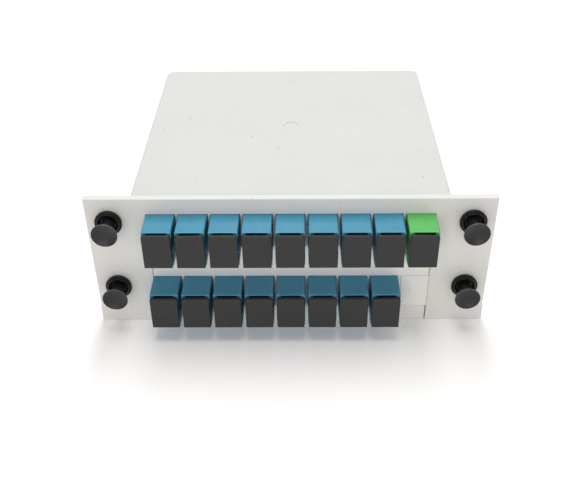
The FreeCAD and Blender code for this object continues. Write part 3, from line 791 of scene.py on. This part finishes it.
class SPLITTER_OT_caps(bpy.types.Operator):
    """Make the dust caps, each with its own flash"""

    bl_idname = "splitter.caps"
    bl_label = "Make the dust caps"

    def execute(self, context):
        settings = context.scene.splitter_caps
        finish = cap_plastic(settings)
        maker = flash_maker()
        for seed, node in enumerate(OUTPUT_CAPS + ["input_dust_cap"], start=1):
            low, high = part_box(node)
            middle = (low.x + high.x) / 2
            piece = piece_from(cap_form(node, settings.edge_round), node + "_piece")
            use_maker(
                piece, maker, count=settings.flash_count, nib_length=settings.flash_size,
                edge_length=FLASH_SPAN, seed=seed * 7, material=finish,
                edge_middle=(middle, low.y + FLASH_SETBACK, high.z - FLASH_DROP),
                slot_size=SLOT_SIZE, slot_middle=(middle, low.y + SLOT_SETBACK, high.z))
            even_normals(piece)
            settle(piece)
            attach(piece, node)
            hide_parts(node)
        return {"FINISHED"}


def square_low_corners(form, low, high):
    """Bring the bevelled low corners of a cap's plate out to a sharp corner."""
    middle = (low.x + high.x) / 2
    reach = 0.35 * MM
    for vert in form.verts:
        side = low.x if vert.co.x < middle else high.x
        if abs(vert.co.x - side) < reach and vert.co.z - low.z < reach:
            vert.co.x, vert.co.z = side, low.z
    bmesh.ops.remove_doubles(form, verts=form.verts, dist=2e-6)


def add_block(form, low, high):
    """Add a closed block between two corners."""
    size = Vector(high) - Vector(low)
    middle = (Vector(high) + Vector(low)) / 2
    bmesh.ops.create_cube(
        form, size=1, matrix=Matrix.Translation(middle) @ Matrix.Diagonal((*size, 1)))


def arc(centre, radius, start, stop, steps=5):
    """Points of an arc in a turned profile, angles in degrees from the radius direction."""
    turn = stop - start
    angles = [math.radians(start + turn * step / steps) for step in range(steps + 1)]
    return [(centre[0] + radius * math.cos(angle), centre[1] + radius * math.sin(angle))
            for angle in angles]


def turned(profile, turns):
    """Closed turned form about the Y axis, from (radius, y) points in metres."""
    form = bmesh.new()
    line = [form.verts.new((radius, y, 0)) for radius, y in profile]
    edges = [form.edges.new(pair) for pair in zip(line, line[1:])]
    if profile[0][0] > 1e-7:
        edges.append(form.edges.new((line[-1], line[0])))
    bmesh.ops.spin(form, geom=line + edges, cent=(0, 0, 0), axis=(0, 1, 0), dvec=(0, 0, 0),
                   angle=math.tau, steps=turns, use_merge=True)
    bmesh.ops.remove_doubles(form, verts=form.verts, dist=1e-7)
    bmesh.ops.recalc_face_normals(form, faces=form.faces)
    return form


def grommet_profile():
    """Flange with a funnel and a rounded rim, and the barrel behind it, set down in mm."""
    return [(r * MM, y * MM) for r, y in (
        [(2.15, -0.62), (2.45, -0.66), (2.9, -1.12), (3.16, -1.56), (3.30, -1.74), (3.42, -1.8),
         (3.60, -1.8), (3.70, -1.72), (3.74, -1.50), (3.92, -1.44)]
        + arc((4.08, -1.14), 0.3, 270, 360, 4)
        + [(4.14, -0.1), (4.08, 0.0), (3.4, 0.0), (3.4, 2.2), (3.1, 2.2), (3.1, 9.8),
           (2.95, 10.0), (2.6, 10.0), (2.6, 3.0), (2.15, 3.0)])]


def plunger_profile(dish):
    """Thin dished head with a bevelled back, then the stem and the bulb, set down in mm."""
    front = -8.1
    dish_radius = 3.85
    dish_edge = front + 0.02
    hollow = [(r, dish_edge + dish / MM * (1 - (r / dish_radius) ** 2))
              for r in (0, 0.8, 1.6, 2.3, 2.9, 3.4)]
    return [(r * MM, y * MM) for r, y in (
        hollow
        + [(dish_radius, dish_edge)]
        + arc((3.95, front + 0.2), 0.2, 270, 360, 4)
        + [(4.15, front + 0.35), (4.0, front + 0.7), (3.3, -7.0), (2.5, -6.8)]
        + arc((2.5, -6.4), 0.4, 270, 180, 4)
        + [(2.1, 3.1), (2.3, 3.1), (2.3, 5.1), (1.5, 7.15), (1.2, 7.3), (0.0, 7.3)])]


class SPLITTER_OT_latches(bpy.types.Operator):
    """Turn the four grommets and the four plungers of the latches"""

    bl_idname = "splitter.latches"
    bl_label = "Make the latches"

    def execute(self, context):
        settings = context.scene.splitter_latches
        finish = latch_nylon("latch_nylon", settings.colour)
        flange_shade_finish = latch_nylon("latch_nylon_rim", shade_of(settings.colour, PAINTED_FLANGE_SHADE), 0.22)
        worn_finish = latch_nylon("latch_nylon_worn", shade_of(settings.colour, PAINTED_RIM_HIGHLIGHT), 0.5)
        self.grommets(settings, finish, flange_shade_finish)
        for corner in CORNERS:
            self.plunger(f"latch_plunger_{corner}", settings, finish, worn_finish)
        return {"FINISHED"}

    def grommets(self, settings, finish, flange_shade_finish):
        """All four grommets in one piece; the flange's outer side is duller, and darker with
        painted shade.
        """
        form = turned(grommet_profile(), settings.turns)
        mark_faces(form, "side", lambda middle: math.hypot(middle.x, middle.z) > 3.72 * MM)
        piece = piece_from(form, "latch_grommets")
        use_maker(piece, rows_maker(), columns=2, pitch=LATCH_SPACING, rows=2,
                  row_spacing=LATCH_RISE, first_place=LATCH_PLACE, body_material=finish,
                  tail_material=finish, core_material=finish, worn_material=finish,
                  side_material=flange_shade_finish)
        settle(piece)
        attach(piece, "box")
        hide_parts(*[f"latch_grommet_{corner}" for corner in CORNERS])

    def plunger(self, node, settings, finish, worn_finish):
        """One plunger, its head's rim paler: a painted highlight."""
        form = turned(plunger_profile(settings.dish), settings.turns)
        for face in form.faces:
            middle = face.calc_center_median()
            on_rim = math.hypot(middle.x, middle.z) > 3.99 * MM and middle.y < -7.8 * MM
            face.material_index = int(on_rim)
        bmesh.ops.translate(form, verts=form.verts, vec=port_place(node))
        piece = piece_from(form, node + "_piece", finish, worn_finish)
        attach(piece, node)
        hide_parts(node)


class SPLITTER_OT_inside(bpy.types.Operator):
    """Finish the splitter module and the fibre loop inside the box"""

    bl_idname = "splitter.inside"
    bl_label = "Finish the inside"

    def execute(self, context):
        for node, finish in (("splitter_module", brushed_case()), ("fibre_loop", fibre_jacket())):
            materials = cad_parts[node].data.materials
            materials.clear()
            materials.append(finish)
        return {"FINISHED"}


def area_light(name, place, target, width, depth, power, colour):
    """Rectangular soft light that faces its target."""
    light = bpy.data.lights.new(name, "AREA")
    light.shape = "RECTANGLE"
    light.size = width
    light.size_y = depth
    light.energy = power
    light.color = colour
    lamp = bpy.data.objects.new(name, light)
    lamp.location = place
    lamp.rotation_euler = (Vector(target) - Vector(place)).to_track_quat("-Z", "Y").to_euler()
    bpy.context.scene.collection.objects.link(lamp)


class SPLITTER_OT_stage(bpy.types.Operator):
    """Lay the floor and set the lights and the camera"""

    bl_idname = "splitter.stage"
    bl_label = "Make the stage"

    def execute(self, context):
        settings = context.scene.splitter_stage
        self.floor(settings)
        self.lights(context, settings)
        self.camera(context)
        context.scene.view_settings.view_transform = "Standard"
        context.scene.view_settings.look = "None"
        return {"FINISHED"}

    def floor(self, settings):
        """Pale square just under the box."""
        half = settings.floor_size / 2
        form = bmesh.new()
        corners = [form.verts.new((x, y, -0.05 * MM)) for x, y in (
            (-half, -half), (half, -half), (half, half), (-half, half))]
        form.faces.new(corners)
        finish = Finish("studio_floor", Specular_IOR_Level=0.1, Roughness=0.8)
        tone = finish.mix(finish.noise(0.6, 1.0), (0.970, 0.948, 0.940), (0.985, 0.962, 0.953))
        finish.feed(Base_Color=tone, Emission_Color=(1.0, 0.95, 0.93, 1.0),
                    Emission_Strength=settings.floor_glow)
        piece_from(form, "studio_floor", finish.material)

    def lights(self, context, settings):
        """A long light overhead, a warmer one in front and an even surround."""
        area_light("overhead", (0, 0.22, 1.05), (0, 0, 0), 0.3, 1.2,
                   settings.key_power, (0.98, 1.0, 0.985))
        area_light("front_fill", (-0.1, -1.38, 0.36), (0, 0, 0.02), 1.1, 1.1,
                   settings.fill_power, (1.0, 0.905, 0.89))
        world = bpy.data.worlds.new("studio_surround")
        world.use_nodes = True
        background = world.node_tree.nodes["Background"]
        background.inputs["Color"].default_value = (1, 1, 1, 1)
        background.inputs["Strength"].default_value = settings.sky
        context.scene.world = world

    def camera(self, context):
        """Camera above and in front of the panel, from its place and its three axes."""
        lens = bpy.data.cameras.new("camera")
        lens.lens = 50.60
        lens.sensor_width = 36
        lens.sensor_fit = "HORIZONTAL"
        lens.clip_start = 0.01
        camera = bpy.data.objects.new("camera", lens)
        place = (0.003188, PANEL_FRONT - 0.215378, 0.186114)
        right = Vector((0.99994, 0.00725, -0.00882))
        up = Vector((0.00287, 0.58792, 0.80893))
        back = Vector((0.01105, -0.80889, 0.58786))
        turn = Matrix((right, up, back)).transposed().to_4x4()
        camera.matrix_world = Matrix.Translation(place) @ turn
        context.scene.collection.objects.link(camera)
        context.scene.camera = camera


class SPLITTER_PT_build(bpy.types.Panel):
    """Lists the operators that build the splitter box"""

    bl_idname = "SPLITTER_PT_build"
    bl_label = "Fibre splitter box"
    bl_space_type = "VIEW_3D"
    bl_region_type = "UI"
    bl_category = "Splitter box"

    def draw(self, context):
        for operator in OPERATORS:
            self.layout.operator(operator.bl_idname)
        for name in SETTINGS:
            group = getattr(context.scene, name)
            box = self.layout.box()
            for key in group.__annotations__:
                box.prop(group, key)


SETTINGS = {
    "splitter_shell": ShellSettings,
    "splitter_adapters": AdapterSettings,
    "splitter_caps": CapSettings,
    "splitter_latches": LatchSettings,
    "splitter_stage": StageSettings,
}
OPERATORS = (
    SPLITTER_OT_stage,
    SPLITTER_OT_shell,
    SPLITTER_OT_adapters,
    SPLITTER_OT_caps,
    SPLITTER_OT_latches,
    SPLITTER_OT_inside,
)
CLASSES = (*SETTINGS.values(), *OPERATORS, SPLITTER_PT_build)


def register():
    for item in CLASSES:
        bpy.utils.register_class(item)
    for name, group in SETTINGS.items():
        setattr(bpy.types.Scene, name, bpy.props.PointerProperty(type=group))


def unregister():
    for name in SETTINGS:
        delattr(bpy.types.Scene, name)
    for item in reversed(CLASSES):
        bpy.utils.unregister_class(item)


def main():
    """Build everything."""
    register()
    bpy.ops.splitter.stage()
    bpy.ops.splitter.shell()
    bpy.ops.splitter.adapters()
    bpy.ops.splitter.caps()
    bpy.ops.splitter.latches()
    bpy.ops.splitter.inside()


if __name__ == "__main__":
    main()
